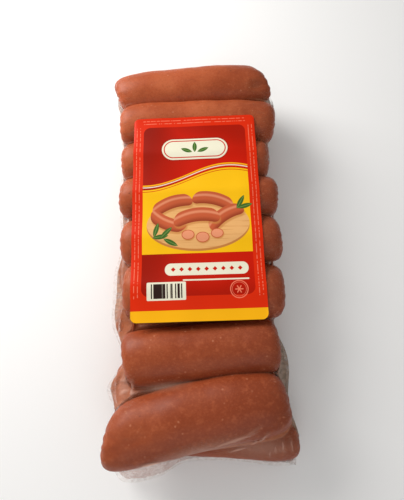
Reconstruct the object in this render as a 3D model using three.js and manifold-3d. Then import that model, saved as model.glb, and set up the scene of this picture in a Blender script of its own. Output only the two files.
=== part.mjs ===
// A vacuum pack of sausage links: sixteen plump links of one string, folded to and fro in two nested layers
// across the pack, in a tight clear film with a sealed edge, and a printed label stuck over the upper layer.
// Millimetres, +Z up. X runs along the links, Y along the pack, and the origin is under the middle of the pack.
import * as THREE from "three";
import { mergeVertices } from "three/addons/utils/BufferGeometryUtils.js";
import Module from "manifold-3d";

// The pack as a whole
const PACK_WIDTH = 132;
const PACK_LENGTH = 310;

// A link has blunt round ends and a section that the film flattens a little
const LINK_HEIGHT = 29;
const END_BLUNTNESS = 11;
const END_ROUNDNESS = 3;
const LINK_STEPS = 14;
const LINK_SIDES = 16;

// The links of each layer, from the far end of the pack to the near one: the x and y of the middle, the length
// and width, the turn in degrees, how far the middle arches towards +Y, and how far each end is pushed askew,
// as a share of the half width: above zero, the side towards +Y reaches further out. A link at an end of the
// pack is less hemmed in, so its own ends are less blunt.
const UPPER_Z = 39.5;
const UPPER_LINKS = [
  {
    x: -2, y: 134.4, length: 119, width: 35, turn: 3.5, arch: 1.5,
    leftSkew: 0.3, rightSkew: -0.45, bluntness: 8,
  },
  { x: 2, y: 102.5, length: 120, width: 34, turn: -1, arch: 3, rightSkew: 0.08 },
  { x: -0.5, y: 70.5, length: 111, width: 31, turn: -1, arch: 0.5 },
  { x: 1.5, y: 41, length: 116, width: 32, turn: -1.5, arch: 0 },
  { x: 2.5, y: 7.5, length: 114, width: 35, turn: 0, arch: 0, rightSkew: -0.1 },
  { x: 3, y: -29, length: 111, width: 38, turn: -2, arch: 0, height: 30 },
  { x: 0.5, y: -69.5, length: 104, width: 37, turn: 4, arch: -0.5, leftSkew: 0.1 },
  {
    x: -3, y: -111, length: 117, width: 41, turn: 10.5, arch: 2.5,
    height: 33, lift: 4.5, leftSkew: -0.38, bluntness: 6,
  },
];
const LOWER_Z = 13.5;
const LOWER_LINKS = [
  { x: -2, y: 120, length: 113, width: 33, turn: 1, arch: 0 },
  { x: 1, y: 87.5, length: 114, width: 33, turn: -2, arch: 1 },
  { x: -1, y: 56, length: 112, width: 33, turn: 1, arch: 0 },
  { x: 1.5, y: 24, length: 114, width: 34, turn: -1, arch: 0 },
  { x: -2.5, y: -10, length: 113, width: 35, turn: 1, arch: 0 },
  { x: -3.5, y: -50, length: 112, width: 38, turn: -1, arch: 0 },
  { x: -5.5, y: -91, length: 112, width: 37, turn: 2, arch: 0 },
  { x: 9, y: -123, length: 112, width: 33, turn: -5, arch: 0, rightSkew: -0.22, bluntness: 7 },
];

// The film hangs taut between the links and is sealed to itself in a thin flange midway up the pack. The
// flange hugs the ends of the links, and dips towards the near end of the pack, where it hangs free.
const FILM_THICKNESS = 1.2;
const FILM_COLUMNS = 18;
const FILM_ROWS = 58;
const FILM_SINK = 1.2;
const FILM_PULL = 2;
const FILM_TURNS = 300;
const FLANGE_Z = 25;
const FLANGE_NEAR_Z = 9;
const FLANGE_DIPS_FROM = -100;
const FLANGE_MARGIN = 0.8;
// Where the flange stands out in a slack web, and leaves the ends of the links within this reach of it
const WEB_REACH = 8;
const SLACK_WEBS = [
  { x: 66, y: 131 },
  { x: 66, y: 119 },
  { x: 60, y: -71 },
  { x: 61, y: -82 },
  { x: 59, y: -103 },
  { x: -60.5, y: -31 },
];
// The far and the near edge of the flange, from left to right
const FAR_EDGE = [
  { x: -56, y: 148 },
  { x: -30, y: 152 },
  { x: 20, y: 153 },
  { x: 50, y: 151 },
  { x: 59, y: 146 },
];
const NEAR_EDGE = [
  { x: -60, y: -146 },
  { x: -54, y: -153 },
  { x: -30, y: -151 },
  { x: -12, y: -142 },
  { x: 18, y: -141 },
  { x: 48, y: -145 },
  { x: 63, y: -145 },
];

// The label is a stiff sheet that rests on the crowns of the links and dips a little between them
const LABEL_WIDTH = 90;
const LABEL_LENGTH = 151;
const LABEL_Y = 25;
const LABEL_THICKNESS = 0.5;
const LABEL_GAP = 0.35;
const LABEL_CORNER = 5;
const LABEL_COLUMNS = 12;
const LABEL_ROWS = 42;
const LABEL_PULL = 0.06;
const LABEL_TURNS = 900;

const SAUSAGE_IN_FILM = new THREE.MeshStandardMaterial({ color: 0xab5a3c, roughness: 0.35, metalness: 0 });
const PRINTED_LABEL = new THREE.MeshStandardMaterial({ color: 0xd92a10, roughness: 0.4, metalness: 0 });

const wasm = await Module();
wasm.setup();

// A closed geometry as a solid that can be joined and cut
function solidOf(geometry) {
  const bare = geometry.clone();
  bare.deleteAttribute("normal");
  bare.deleteAttribute("uv");
  const merged = mergeVertices(bare, 1e-3);
  return new wasm.Manifold(
    new wasm.Mesh({
      numProp: 3,
      vertProperties: merged.attributes.position.array,
      triVerts: new Uint32Array(merged.index.array),
    }),
  );
}

function geometryOf(solid) {
  const mesh = solid.getMesh();
  const geometry = new THREE.BufferGeometry();
  geometry.setAttribute("position", new THREE.BufferAttribute(mesh.vertProperties, 3));
  geometry.setIndex(new THREE.BufferAttribute(mesh.triVerts, 1));
  geometry.computeVertexNormals();
  return geometry;
}

// How full a link is at u, which runs from -1 at its left end to 1 at its right end
function fullness(link, u) {
  return Math.pow(Math.max(0, 1 - Math.pow(Math.abs(u), link.bluntness)), 1 / END_ROUNDNESS);
}

// The links of a layer with what they have in common where none is given, and the height of their middle
function inLayer(links, layerZ) {
  const common = { height: LINK_HEIGHT, lift: 0, leftSkew: 0, rightSkew: 0, bluntness: END_BLUNTNESS };
  return links.map((link) => ({ ...common, ...link, z: layerZ + (link.lift ?? 0) }));
}

const LINKS = [...inLayer(UPPER_LINKS, UPPER_Z), ...inLayer(LOWER_LINKS, LOWER_Z)];

// How far the point at u along and v across a link is pushed along it by its end's skew
function skewAt(link, u, v) {
  const skew = u < 0 ? -link.leftSkew : link.rightSkew;
  return skew * v * u * u;
}

// One link, turned round its own length, then flattened, skewed, arched, turned and set in its place
function linkGeometry(link) {
  const profile = [];
  for (let i = 0; i <= LINK_STEPS; i++) {
    const u = Math.sin((Math.PI / 2) * ((2 * i) / LINK_STEPS - 1));
    const onAxis = i === 0 || i === LINK_STEPS;
    profile.push(new THREE.Vector2(onAxis ? 0 : fullness(link, u), u));
  }
  const geometry = new THREE.LatheGeometry(profile, LINK_SIDES);
  geometry.rotateZ(-Math.PI / 2);
  const at = geometry.attributes.position;
  for (let i = 0; i < at.count; i++) {
    const u = at.getX(i);
    const v = (at.getY(i) * link.width) / 2;
    const x = (u * link.length) / 2 + skewAt(link, u, v);
    at.setXYZ(i, x, v + link.arch * (1 - u * u), (at.getZ(i) * link.height) / 2);
  }
  geometry.rotateZ(THREE.MathUtils.degToRad(link.turn));
  geometry.translate(link.x, link.y, link.z);
  return geometry;
}

// Half the thickness of a link over a point, or zero beside it. The link is first made smaller by the sink.
function halfThickness(link, x, y, sink) {
  const turn = THREE.MathUtils.degToRad(link.turn);
  const along = (x - link.x) * Math.cos(turn) + (y - link.y) * Math.sin(turn);
  const across = -(x - link.x) * Math.sin(turn) + (y - link.y) * Math.cos(turn);
  const halfLength = link.length / 2 - sink;
  const u = along / halfLength;
  const v = across - link.arch * (1 - u * u);
  const trueU = (along - skewAt(link, u, v)) / halfLength;
  const reach = fullness(link, trueU) * (link.width / 2 - sink);
  if (Math.abs(v) >= reach) return 0;
  const flat = v / reach;
  return fullness(link, trueU) * (link.height / 2 - sink) * Math.sqrt(1 - flat * flat);
}

// The highest (side 1) or the lowest (side -1) that the links reach over a point. Where there is no link, it is
// beyond any limit on the other side.
function reachOfLinks(x, y, sink, side) {
  let reach = -Infinity;
  for (const link of LINKS) {
    const half = halfThickness(link, x, y, sink);
    if (half > 0) reach = Math.max(reach, side * link.z + half);
  }
  return side * reach;
}

// The middle of a link's end on one side of the pack, -1 for left and 1 for right
function tipOf(link, side) {
  const turn = THREE.MathUtils.degToRad(link.turn);
  const reach = (side * link.length) / 2;
  return { x: link.x + reach * Math.cos(turn), y: link.y + reach * Math.sin(turn) };
}

// The flange's long edge on one side, from the near corner to the far one
function sideEdge(side) {
  const webs = SLACK_WEBS.filter((web) => web.x * side > 0);
  const tips = LINKS.map((link) => tipOf(link, side));
  const hugged = tips.filter((tip) => webs.every((web) => Math.abs(web.y - tip.y) > WEB_REACH));
  const points = [...hugged.map((tip) => ({ x: tip.x + side * FLANGE_MARGIN, y: tip.y })), ...webs];
  points.sort((a, b) => a.y - b.y);
  const near = side < 0 ? NEAR_EDGE[0] : NEAR_EDGE.at(-1);
  const far = side < 0 ? FAR_EDGE[0] : FAR_EDGE.at(-1);
  return [near, ...points, far];
}

function smoothCurve(points) {
  return new THREE.CatmullRomCurve3(points.map((p) => new THREE.Vector3(p.x, p.y, 0)), false, "centripetal");
}

// The height of the flange's underside
function flangeZ(y) {
  const share = THREE.MathUtils.smoothstep(-y, -FLANGE_DIPS_FROM, PACK_LENGTH / 2);
  return FLANGE_Z + (FLANGE_NEAR_Z - FLANGE_Z) * share;
}

// A net of points in plan that fills the flange's outline, with its columns closer together near the edges
function filmNet() {
  const left = smoothCurve(sideEdge(-1));
  const right = smoothCurve(sideEdge(1));
  const near = smoothCurve(NEAR_EDGE);
  const far = smoothCurve(FAR_EDGE);
  const corners = [near.getPointAt(0), near.getPointAt(1), far.getPointAt(0), far.getPointAt(1)];
  const net = [];
  for (let j = 0; j <= FILM_ROWS; j++) {
    const t = j / FILM_ROWS;
    const row = [];
    for (let i = 0; i <= FILM_COLUMNS; i++) {
      const s = (1 - Math.cos((Math.PI * i) / FILM_COLUMNS)) / 2;
      const point = new THREE.Vector3();
      point.addScaledVector(left.getPointAt(t), 1 - s).addScaledVector(right.getPointAt(t), s);
      point.addScaledVector(near.getPointAt(s), 1 - t).addScaledVector(far.getPointAt(s), t);
      point.addScaledVector(corners[0], -(1 - s) * (1 - t)).addScaledVector(corners[1], -s * (1 - t));
      point.addScaledVector(corners[2], -(1 - s) * t).addScaledVector(corners[3], -s * t);
      row.push(point);
    }
    net.push(row);
  }
  return fitted(net);
}

// Stretches the net a little, so that it is exactly as wide and as long as the pack
function fitted(net) {
  const box = new THREE.Box3().setFromPoints(net.flat());
  const middle = box.getCenter(new THREE.Vector3());
  const size = box.getSize(new THREE.Vector3());
  for (const point of net.flat()) {
    point.x = ((point.x - middle.x) * PACK_WIDTH) / size.x;
    point.y = ((point.y - middle.y) * PACK_LENGTH) / size.y;
  }
  return net;
}

// The heights of the upper film (side 1) or the lower film (side -1) over the net: held at the edge, pulled
// inwards, and kept out of the links and off the other film
function filmHeights(net, side) {
  const outer = side > 0 ? Math.max : Math.min;
  const seal = net.map((row) => row.map((p) => flangeZ(p.y) + (side > 0 ? FILM_THICKNESS : 0)));
  const limit = net.map((row, j) =>
    row.map((p, i) => outer(seal[j][i], reachOfLinks(p.x, p.y, FILM_SINK, side))),
  );
  const z = seal.map((row) => [...row]);
  for (let turn = 0; turn < FILM_TURNS; turn++) {
    for (let j = 1; j < FILM_ROWS; j++) {
      for (let i = 1; i < FILM_COLUMNS; i++) {
        const taut = (z[j - 1][i] + z[j + 1][i] + z[j][i - 1] + z[j][i + 1]) / 4;
        z[j][i] = outer(limit[j][i], taut - side * FILM_PULL);
      }
    }
  }
  return z;
}

// A closed sheet over a net of points in plan, between two sets of heights
function sheetGeometry(net, lowZ, highZ) {
  const rows = net.length - 1;
  const columns = net[0].length - 1;
  const wide = columns + 1;
  const layer = wide * net.length;
  const points = [];
  for (const heights of [lowZ, highZ]) {
    net.forEach((row, j) => row.forEach((p, i) => points.push(p.x, p.y, heights[j][i])));
  }
  const faces = [];
  for (let j = 0; j < rows; j++) {
    for (let i = 0; i < columns; i++) {
      const low = j * wide + i;
      const high = low + layer;
      faces.push(low + wide, low + 1, low, low + wide, low + wide + 1, low + 1);
      faces.push(high, high + 1, high + wide, high + 1, high + wide + 1, high + wide);
    }
  }
  const wall = (a, b) => faces.push(a, b, b + layer, a, b + layer, a + layer);
  for (let i = 0; i < columns; i++) {
    const far = rows * wide + i;
    wall(i, i + 1);
    wall(far + 1, far);
  }
  for (let j = 0; j < rows; j++) {
    const left = j * wide;
    wall(left + wide, left);
    wall(left + columns, left + columns + wide);
  }
  const geometry = new THREE.BufferGeometry();
  geometry.setAttribute("position", new THREE.Float32BufferAttribute(points, 3));
  geometry.setIndex(faces);
  geometry.computeVertexNormals();
  return geometry;
}

// The whole sealed pack as one solid, cut flat where it rests
function packGeometry() {
  const net = filmNet();
  let pack = solidOf(sheetGeometry(net, filmHeights(net, -1), filmHeights(net, 1)));
  for (const link of LINKS) pack = pack.add(solidOf(linkGeometry(link)));
  const under = new THREE.BoxGeometry(2 * PACK_WIDTH, 2 * PACK_LENGTH, LINK_HEIGHT);
  under.translate(0, 0, -LINK_HEIGHT / 2);
  return geometryOf(pack.subtract(solidOf(under)));
}

// The label's points in plan, with round corners
function labelNet() {
  const net = [];
  for (let j = 0; j <= LABEL_ROWS; j++) {
    const row = [];
    for (let i = 0; i <= LABEL_COLUMNS; i++) {
      const x = -(LABEL_WIDTH / 2) * Math.cos((Math.PI * i) / LABEL_COLUMNS);
      const past = Math.max(0, Math.abs(x) - (LABEL_WIDTH / 2 - LABEL_CORNER));
      const cut = LABEL_CORNER - Math.sqrt(LABEL_CORNER ** 2 - past ** 2);
      const y = LABEL_Y + ((2 * j) / LABEL_ROWS - 1) * (LABEL_LENGTH / 2 - cut);
      row.push(new THREE.Vector3(x, y, 0));
    }
    net.push(row);
  }
  return net;
}

// The heights of the label's underside, which rests on the links and is bent along the pack only
function labelHeights(net) {
  const rest = net.map((row) => row.map((p) => Math.max(UPPER_Z, reachOfLinks(p.x, p.y, 0, 1)) + LABEL_GAP));
  const z = net.map((row) => row.map(() => UPPER_Z + LINK_HEIGHT / 2 + LABEL_GAP));
  for (let turn = 0; turn < LABEL_TURNS; turn++) {
    for (let j = 0; j <= LABEL_ROWS; j++) {
      const before = z[j - 1] ?? z[j + 1];
      const after = z[j + 1] ?? z[j - 1];
      for (let i = 0; i <= LABEL_COLUMNS; i++) {
        z[j][i] = Math.max(rest[j][i], (before[i] + after[i]) / 2 - LABEL_PULL);
      }
    }
  }
  return z;
}

function labelGeometry() {
  const net = labelNet();
  const under = labelHeights(net);
  return sheetGeometry(net, under, under.map((row) => row.map((z) => z + LABEL_THICKNESS)));
}

function part(name, geometry, material) {
  const mesh = new THREE.Mesh(geometry, material);
  mesh.name = name;
  return mesh;
}

const object = new THREE.Group();
object.add(part("sealed_pack", packGeometry(), SAUSAGE_IN_FILM));
object.add(part("label", labelGeometry(), PRINTED_LABEL));

export default object;
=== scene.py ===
# %% [markdown]
# # A vacuum pack of sausage links
# The real object is one string of short fat sausages, folded to and fro in two layers of eight, sealed in
# clear film under vacuum, with a printed label on top. After the studio it is made from the inside out:
# links, the twists between them, the film that is sucked onto them, its sealed edge, and the label. The
# finishes come last.

import math

import bpy
import numpy as np
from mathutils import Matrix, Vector, noise
from mathutils.bvhtree import BVHTree


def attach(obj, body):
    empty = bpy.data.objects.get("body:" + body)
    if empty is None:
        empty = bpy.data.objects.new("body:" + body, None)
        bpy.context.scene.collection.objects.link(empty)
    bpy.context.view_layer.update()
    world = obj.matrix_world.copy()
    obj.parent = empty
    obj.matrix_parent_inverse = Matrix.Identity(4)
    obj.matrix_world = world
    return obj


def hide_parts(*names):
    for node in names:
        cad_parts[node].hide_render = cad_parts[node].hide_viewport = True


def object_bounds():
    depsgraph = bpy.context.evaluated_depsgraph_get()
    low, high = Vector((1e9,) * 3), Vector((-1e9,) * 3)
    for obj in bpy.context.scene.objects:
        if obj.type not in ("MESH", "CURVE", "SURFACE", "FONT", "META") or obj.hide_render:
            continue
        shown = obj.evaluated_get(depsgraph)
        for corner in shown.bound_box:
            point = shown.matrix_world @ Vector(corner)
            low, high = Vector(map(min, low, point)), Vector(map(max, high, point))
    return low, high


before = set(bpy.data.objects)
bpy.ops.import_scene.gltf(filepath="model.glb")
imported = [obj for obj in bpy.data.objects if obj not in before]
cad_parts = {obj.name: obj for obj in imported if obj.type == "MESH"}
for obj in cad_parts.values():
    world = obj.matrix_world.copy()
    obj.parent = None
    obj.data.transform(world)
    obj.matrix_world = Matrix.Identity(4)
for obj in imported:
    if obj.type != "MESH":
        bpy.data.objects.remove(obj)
cad_low, cad_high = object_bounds()
MM = 0.001
print("CAD box in mm", [round(v / MM, 1) for v in (*cad_low, *cad_high)])

# %% [markdown]
# ## Camera, light and floor
# The camera comes first. The photo is taken from above, leaning 15 degrees towards the near end of the
# pack. The light is a soft window from the upper left, so the right ends of the links fall off into shade,
# and a weak lamp beyond the near end keeps that shade open.

# %% The camera at the photo's viewing angle
CAMERA_PLACE = Vector((8.5, -69.8, 299.1)) * MM
CAMERA_TURN = [math.radians(angle) for angle in (15.19, 1.66, -1.59)]
CAMERA_LENS = 27.0

bpy.ops.object.camera_add(location=CAMERA_PLACE, rotation=CAMERA_TURN)
camera = bpy.context.object
camera.data.lens = CAMERA_LENS
camera.data.clip_start = 0.01
bpy.context.scene.camera = camera
bpy.context.scene.view_settings.view_transform = "Standard"
print("camera height in mm", round(camera.location.z / MM, 1))

# %% A pale floor and a pale sky
FLOOR_SIZE = 6.0
SKY_STRENGTH = 0.4

bpy.ops.mesh.primitive_plane_add(size=FLOOR_SIZE, location=(0, 0, -0.05 * MM))
floor = bpy.context.object
floor.name = "floor"
floor_paint = bpy.data.materials.new("pale_floor")
floor_paint.use_nodes = True
floor_paint.node_tree.nodes["Principled BSDF"].inputs["Base Color"].default_value = (0.93, 0.93, 0.93, 1)
floor_paint.node_tree.nodes["Principled BSDF"].inputs["Roughness"].default_value = 0.9
floor.data.materials.append(floor_paint)

sky = bpy.data.worlds.new("studio")
sky.use_nodes = True
sky.node_tree.nodes["Background"].inputs["Color"].default_value = (1.0, 0.99, 0.97, 1)
sky.node_tree.nodes["Background"].inputs["Strength"].default_value = SKY_STRENGTH
bpy.context.scene.world = sky
print("stage", floor.name, sky.name)

# %% Soft lights
def soft_light(name, place, size, watts, colour=(1, 1, 1)):
    """A square lamp that faces the pack."""
    bpy.ops.object.light_add(type="AREA", location=place)
    lamp = bpy.context.object
    lamp.name = name
    lamp.data.size = size
    lamp.data.energy = watts
    lamp.data.color = colour
    lamp.rotation_euler = (-Vector(place)).to_track_quat("-Z", "Y").to_euler()
    return lamp


window = soft_light("window", (-0.43, 0.4, 0.38), 0.4, 5.0, (1.0, 0.98, 0.95))
fill = soft_light("fill", (0.05, -0.75, 0.6), 0.8, 2.0)
print("lamps in watts", window.data.energy, fill.data.energy)

# %% [markdown]
# ## The links in numbers
# Every link is a blunt round bar, a little flattened by the film. A link is described by where its middle
# is, how long and wide it is, how it is turned and arched, and how far its ends are pushed askew. The
# numbers are those of the solid pack with ends a little blunter, so the looks stay where the solid is.

# %% The two layers
UPPER_Z = 39.5
LOWER_Z = 13.5
END_BLUNTNESS = 15.0
END_ROUNDNESS = 3.6


def link_size(x, y, length, width, turn, arch=0.0, height=29.0, z=UPPER_Z, left_skew=0.0, right_skew=0.0,
              bluntness=END_BLUNTNESS):
    return dict(x=x, y=y, z=z, length=length, width=width, height=height, turn=math.radians(turn), arch=arch,
                left_skew=left_skew, right_skew=right_skew, bluntness=bluntness)


UPPER_LINKS = [
    link_size(-2, 134.4, 119, 35, 3.5, 1.5, left_skew=0.3, right_skew=-0.45, bluntness=8),
    link_size(2, 102.5, 120, 34, -1, 3, right_skew=0.08),
    link_size(-0.5, 70.5, 111, 31, -1, 0.5),
    link_size(1.5, 41, 116, 32, -1.5),
    link_size(2.5, 7.5, 114, 35, 0, right_skew=-0.1),
    link_size(3, -29, 111, 38, -2, height=30),
    link_size(0.5, -69.5, 104, 37, 4, -0.5, left_skew=0.1),
    link_size(-3, -111, 117, 41, 10.5, 2.5, height=33, z=UPPER_Z + 4.5, left_skew=-0.38, bluntness=6),
]
LOWER_LINKS = [
    link_size(-2, 120, 113, 33, 1, z=LOWER_Z),
    link_size(1, 87.5, 114, 33, -2, 1, z=LOWER_Z),
    link_size(-1, 56, 112, 33, 1, z=LOWER_Z),
    link_size(1.5, 24, 114, 34, -1, z=LOWER_Z),
    link_size(-2.5, -10, 113, 35, 1, z=LOWER_Z),
    link_size(-3.5, -50, 112, 38, -1, z=LOWER_Z),
    link_size(-5.5, -91, 112, 37, 2, z=LOWER_Z),
    link_size(9, -123, 112, 33, -5, z=LOWER_Z, right_skew=-0.22, bluntness=7),
]
STRING = UPPER_LINKS + LOWER_LINKS[::-1]
print(len(STRING), "links")

# %% Where a point of a link lies
def fullness(link, u):
    """How full a link is at u, which runs from -1 at its left end to 1 at its right end."""
    return np.clip(1 - np.abs(u) ** link["bluntness"], 0, None) ** (1 / END_ROUNDNESS)


def placed(link, along, across, up):
    """A point given along, across and above a link's middle, as a point of the pack, in mm."""
    turn = link["turn"]
    x = link["x"] + along * math.cos(turn) - across * math.sin(turn)
    y = link["y"] + along * math.sin(turn) + across * math.cos(turn)
    return x, y, link["z"] + up


def skewed(link, u, across):
    skew = link["right_skew"] if u > 0 else -link["left_skew"]
    return skew * across * u * u


def tip(link, side):
    """The middle of a link's end, on the left (-1) or on the right (1)."""
    return Vector(placed(link, side * link["length"] / 2, 0, 0))


print("right end of the first link in mm", [round(v, 1) for v in tip(STRING[0], 1)])

# %% [markdown]
# ## The links
# A sausage could be a capsule, but packed links are never that even: their ends are squashed blunt, the
# filling bulges here and there, and at both ends the casing is gathered into pleats that run to a dimple
# with the twist. So each link starts as a sphere with its poles at the twists. Its rings are moved to even
# steps along the blunt profile, and then every point goes in or out along its normal. The same function
# makes a slightly fatter copy, over which the film is formed later.

# %% A link from a sphere
LINK_SEGMENTS = 56
LINK_RINGS = 60
PROFILE_SAMPLES = 801
LUMP_SIZE = 24.0
LUMP_HEIGHT = 0.8
RIPPLE_SIZE = 7.0
RIPPLE_HEIGHT = 0.16
PLEATS = 11
PLEAT_DEPTH = 0.55
DIMPLE_DEPTH = 1.8
REST_HEIGHT = 0.45


def profile(link):
    """Where each ring goes: even steps along the link's outline, from the left pole to the right one."""
    u = np.sin(np.pi / 2 * np.sin(np.pi / 2 * np.linspace(-1, 1, PROFILE_SAMPLES)))
    full = fullness(link, u)
    steps = np.hypot(np.diff(u * link["length"] / 2), np.diff(full * link["width"] / 2))
    travelled = np.r_[0, np.cumsum(steps)]
    even = np.linspace(0, travelled[-1], LINK_RINGS + 1)
    return np.interp(even, travelled, u), np.interp(even, travelled, full)


def wander(point, size, seed):
    """Smooth noise between -1 and 1 with hills of about a size, in mm."""
    return noise.noise(point / size + Vector((0, 0, 10 * seed)))


# Dents and grooves that are pressed into the links: two points in mm, the depth and the half width
DENTS = [
    ((49, 128.5, 51.5), (53, 130.5, 49), 2.6, 3.8),
    ((56.5, 134, 46), (57, 124, 44), 0.9, 1.6),
    ((47, 124, 51), (44, 118, 50), 0.6, 2.0),
    ((-54, -125, 57), (-34, -117, 60), 0.7, 2.2),
    ((26.5, -61.5, 53.4), (29.5, -62.5, 53.4), 0.8, 1.4),
    ((29, -78.7, 51.4), (30, -78.9, 51.2), 0.9, 1.2),
]


def off_line(point, start, end):
    """How far a point is from a line between two points, and its share of the way along it."""
    a, b = Vector(start), Vector(end)
    share = min(1.0, max(0.0, (point - a).dot(b - a) / (b - a).length_squared))
    return (point - a.lerp(b, share)).length, share


def dent_depth(point):
    depth = 0.0
    for start, end, deep, width in DENTS:
        distance, _ = off_line(point, start, end)
        depth += deep * math.exp(-((distance / width) ** 2))
    return depth


def make_link(name, link, seed, grow=0.0):
    """One link as its own mesh. grow makes it fatter all round, in mm."""
    bpy.ops.object.select_all(action="DESELECT")
    bpy.ops.mesh.primitive_uv_sphere_add(segments=LINK_SEGMENTS, ring_count=LINK_RINGS, radius=1)
    piece = bpy.context.object
    piece.name = name
    ring_u, ring_full = profile(link)
    relief = []
    for vertex in piece.data.vertices:
        pole_angle = math.acos(max(-1.0, min(1.0, -vertex.co.z)))
        ring = round(pole_angle / math.pi * LINK_RINGS)
        angle = math.atan2(vertex.co.y, vertex.co.x)
        u, full = float(ring_u[ring]), float(ring_full[ring])
        across = full * math.cos(angle) * link["width"] / 2
        up = full * math.sin(angle) * link["height"] / 2
        along = u * link["length"] / 2 + skewed(link, u, across)
        dimple = DIMPLE_DEPTH * max(0.0, 1 - full / 0.55) ** 2
        along -= math.copysign(dimple, u)
        place = Vector(placed(link, along, across + link["arch"] * (1 - u * u), up))
        gathered = max(0.0, 1 - full) ** 0.7 * min(1.0, full / 0.25)
        pleat = math.sin(PLEATS * angle + seed + 2 * wander(place, 15, seed))
        relief.append(
            LUMP_HEIGHT * wander(place, LUMP_SIZE, seed)
            + RIPPLE_HEIGHT * wander(place, RIPPLE_SIZE, seed)
            + PLEAT_DEPTH * gathered * pleat
            - dent_depth(place)
        )
        vertex.co = place * MM
    piece.data.update()
    normals = [v.normal.copy() for v in piece.data.vertices]
    for vertex, normal, height in zip(piece.data.vertices, normals, relief):
        vertex.co += normal * (height + grow) * MM
        vertex.co.z = max(vertex.co.z, (REST_HEIGHT - grow) * MM)
    bpy.ops.object.shade_smooth()
    return piece


links = [make_link(f"link_{i + 1:02d}", link, i) for i, link in enumerate(STRING)]
print("triangles in a link", sum(len(f.vertices) - 2 for f in links[0].data.polygons))

# %% Smooth curves through a few points
CURVE_SAMPLES = 24


def smooth_curve(points, shares):
    """Points at given shares of the length of a smooth curve through some points, flat or in space."""
    p = np.array(points, float)
    p = np.vstack([2 * p[0] - p[1], p, 2 * p[-1] - p[-2]])
    dense = []
    for p0, p1, p2, p3 in zip(p, p[1:], p[2:], p[3:]):
        gaps = [math.sqrt(np.linalg.norm(b - a)) for a, b in ((p0, p1), (p1, p2), (p2, p3))]
        leave = ((p1 - p0) / gaps[0] - (p2 - p0) / (gaps[0] + gaps[1]) + (p2 - p1) / gaps[1]) * gaps[1]
        reach = ((p2 - p1) / gaps[1] - (p3 - p1) / (gaps[1] + gaps[2]) + (p3 - p2) / gaps[2]) * gaps[1]
        t = np.linspace(0, 1, CURVE_SAMPLES, endpoint=False)[:, None]
        dense.append((2 * t**3 - 3 * t**2 + 1) * p1 + (t**3 - 2 * t**2 + t) * leave
                     + (3 * t**2 - 2 * t**3) * p2 + (t**3 - t**2) * reach)
    dense = np.vstack([*dense, p[-2]])
    travelled = np.r_[0, np.cumsum(np.linalg.norm(np.diff(dense, axis=0), axis=1))]
    at = np.asarray(shares) * travelled[-1]
    return np.stack([np.interp(at, travelled, axis) for axis in dense.T], -1)


print("halfway round a bend", smooth_curve([(0, 0), (1, 0), (1, 1)], [0.5]).round(2))

# %% [markdown]
# ## The twists
# Between two sausages the casing is twisted into a short neck, and in a folded string the necks lie in turn
# at the right and at the left. Each neck leaves one link's dimple, is pressed into the notch between the
# two ends, and goes into the next dimple. It is a tube of rings along that path, pressed flat on the ends
# by the film, thin in the middle, with ridges that wind round it.

# %% Necks from end to end
NECK_STEPS = 40
NECK_SIDES = 18
NECK_MIDDLE = 1.6
NECK_END = 3.4
NECK_FLATNESS = 0.5
NECK_TURNS = 2.5
NECK_RIDGE = 0.28
NECK_ROOT = 5.0
NECK_OUT = -0.5
NECK_NOTCH = 7.0


def make_neck(name, first, second, side, grow=0.0):
    outward = Vector((side, 0, 0))
    start, end = tip(first, side), tip(second, side)
    points = [
        start - outward * NECK_ROOT,
        start + outward * NECK_OUT,
        (start + end) / 2 - outward * NECK_NOTCH,
        end + outward * NECK_OUT,
        end - outward * NECK_ROOT,
    ]
    shares = np.linspace(0, 1, NECK_STEPS + 1)
    path = [Vector(p) for p in smooth_curve(points, shares)]
    before, after = [path[0], *path[:-1]], [*path[1:], path[-1]]
    ways = [(b - a).normalized() for a, b in zip(before, after)]
    verts, faces = [], []
    up = Vector((0, 0, 1))
    for place, way, t in zip(path, ways, shares):
        up = (up - way * up.dot(way)).normalized()
        out = way.cross(up)
        radius = NECK_MIDDLE + (NECK_END - NECK_MIDDLE) * abs(2 * t - 1) ** 4 + grow
        for k in range(NECK_SIDES):
            angle = 2 * math.pi * k / NECK_SIDES
            ridge = NECK_RIDGE * math.cos(3 * angle + 2 * math.pi * NECK_TURNS * t)
            flat = outward * (1 - NECK_FLATNESS) * (1 - abs(2 * t - 1) ** 4)
            spoke = (out * math.cos(angle) + up * math.sin(angle)) * (radius + ridge)
            verts.append((place + spoke - flat * spoke.dot(outward)) * MM)
    for i in range(NECK_STEPS):
        for k in range(NECK_SIDES):
            a = i * NECK_SIDES + k
            b = i * NECK_SIDES + (k + 1) % NECK_SIDES
            faces.append((a, b, b + NECK_SIDES, a + NECK_SIDES))
    faces.append(tuple(reversed(range(NECK_SIDES))))
    faces.append(tuple(range(NECK_STEPS * NECK_SIDES, (NECK_STEPS + 1) * NECK_SIDES)))
    return new_piece(name, verts, faces)


def new_piece(name, verts, faces):
    """A closed piece from points and faces, with every face turned outwards."""
    mesh = bpy.data.meshes.new(name)
    mesh.from_pydata(verts, [], faces)
    piece = bpy.data.objects.new(name, mesh)
    bpy.context.collection.objects.link(piece)
    bpy.ops.object.select_all(action="DESELECT")
    piece.select_set(True)
    bpy.context.view_layer.objects.active = piece
    bpy.ops.object.mode_set(mode="EDIT")
    bpy.ops.mesh.select_all(action="SELECT")
    bpy.ops.mesh.normals_make_consistent(inside=False)
    bpy.ops.object.mode_set(mode="OBJECT")
    bpy.ops.object.shade_smooth()
    return piece


NECK_SIDE = [1 if i % 2 == 0 else -1 for i in range(len(STRING) - 1)]
necks = [
    make_neck(f"twist_{i + 1:02d}", STRING[i], STRING[i + 1], side) for i, side in enumerate(NECK_SIDE)
]
print(len(necks), "necks")

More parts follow.
